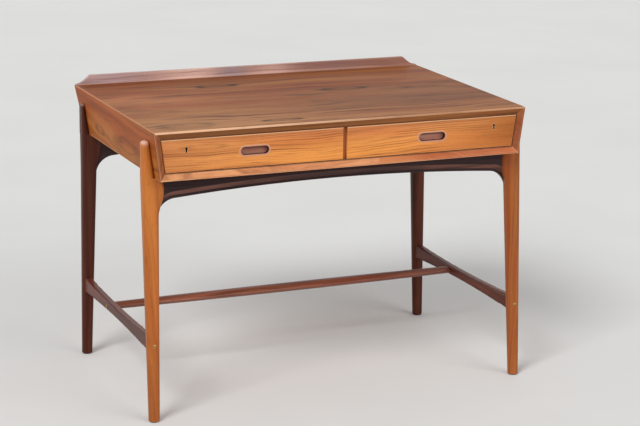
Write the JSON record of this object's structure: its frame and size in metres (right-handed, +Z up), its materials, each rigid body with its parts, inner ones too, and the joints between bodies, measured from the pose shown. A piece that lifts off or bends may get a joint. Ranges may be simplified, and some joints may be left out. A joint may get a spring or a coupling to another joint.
{
  "type": "writing desk",
  "caption": "Teak writing desk: tapering case with two lockable drawers and a raised back lip, hung between raked legs that finger up its sides, on an H stretcher.",
  "frame": {"origin": "on the floor, under the middle of the desk's bounding box", "axes": "+X to the sitter's right along the desk, +Y away from the sitter to the raised lip, +Z up"},
  "size_m": [1.019, 0.652, 0.744],
  "materials": {
    "case_wood": "teak, oiled to a satin sheen, fine dark streaks",
    "back_wood": "plain teak ply, oiled",
    "lip_wood": "solid teak, satin, catches a pinkish light",
    "front_wood": "golden teak with wavy level grain, satin",
    "leg_wood": "solid teak with upright grain, oiled",
    "rail_wood": "solid teak, darker, oiled",
    "stretcher_wood": "solid teak, reddish brown, oiled",
    "pull_wood": "rosewood-dark turned rim, satin",
    "drawer_wood": "plain hardwood, waxed",
    "plywood": "thin plywood, clear finish",
    "runner_wood": "waxed hardwood strip",
    "brass": "plain brass, lightly dulled",
    "steel": "plain zinc-coated steel",
    "glide_plastic": "dark hard plastic"
  },
  "bodies": {
    "desk_frame": {"back_lip": "lip_wood", "back_panel": "back_wood", "bottom_panel": "case_wood", "center_divider": "case_wood", "drawer_stops": "runner_wood", "foot_glides": "glide_plastic", "front_left_leg": "leg_wood", "front_rail": "rail_wood", "front_right_leg": "leg_wood", "left_drawer_guide": "runner_wood", "left_inner_runner": "runner_wood", "left_outer_runner": "runner_wood", "left_side_panel": "case_wood", "left_side_stretcher": "stretcher_wood", "leg_case_screws": "steel", "long_stretcher": "stretcher_wood", "long_stretcher_bolts": "brass", "rail_case_screws": "steel", "rear_left_leg": "leg_wood", "rear_rail": "rail_wood", "rear_right_leg": "leg_wood", "right_drawer_guide": "runner_wood", "right_inner_runner": "runner_wood", "right_outer_runner": "runner_wood", "right_side_panel": "case_wood", "right_side_stretcher": "stretcher_wood", "stretcher_screws": "brass", "top_panel": "case_wood"},
    "left_drawer": {"left_drawer_front": "front_wood", "left_drawer_outer_side": "drawer_wood", "left_drawer_inner_side": "drawer_wood", "left_drawer_back": "drawer_wood", "left_drawer_bottom": "plywood", "left_drawer_pull": "pull_wood", "left_lock_case": "brass", "left_lock_screws": "brass"},
    "right_drawer": {"right_drawer_front": "front_wood", "right_drawer_outer_side": "drawer_wood", "right_drawer_inner_side": "drawer_wood", "right_drawer_back": "drawer_wood", "right_drawer_bottom": "plywood", "right_drawer_pull": "pull_wood", "right_lock_case": "brass", "right_lock_screws": "brass"},
    "left_lock_bolt": {"left_lock_bolt": "brass"},
    "right_lock_bolt": {"right_lock_bolt": "brass"}
  },
  "joints": [
    {"name": "left_drawer_slide", "type": "slide", "parent": "desk_frame", "child": "left_drawer", "axis": [0, -1, 0], "range_m": [0, 0.36]},
    {"name": "left_lock_bolt_slide", "type": "slide", "parent": "left_drawer", "child": "left_lock_bolt", "axis": [0, 0, 1], "range_m": [0, 0.006]},
    {"name": "right_drawer_slide", "type": "slide", "parent": "desk_frame", "child": "right_drawer", "axis": [0, -1, 0], "range_m": [0, 0.36]},
    {"name": "right_lock_bolt_slide", "type": "slide", "parent": "right_drawer", "child": "right_lock_bolt", "axis": [0, 0, 1], "range_m": [0, 0.006]}
  ]
}
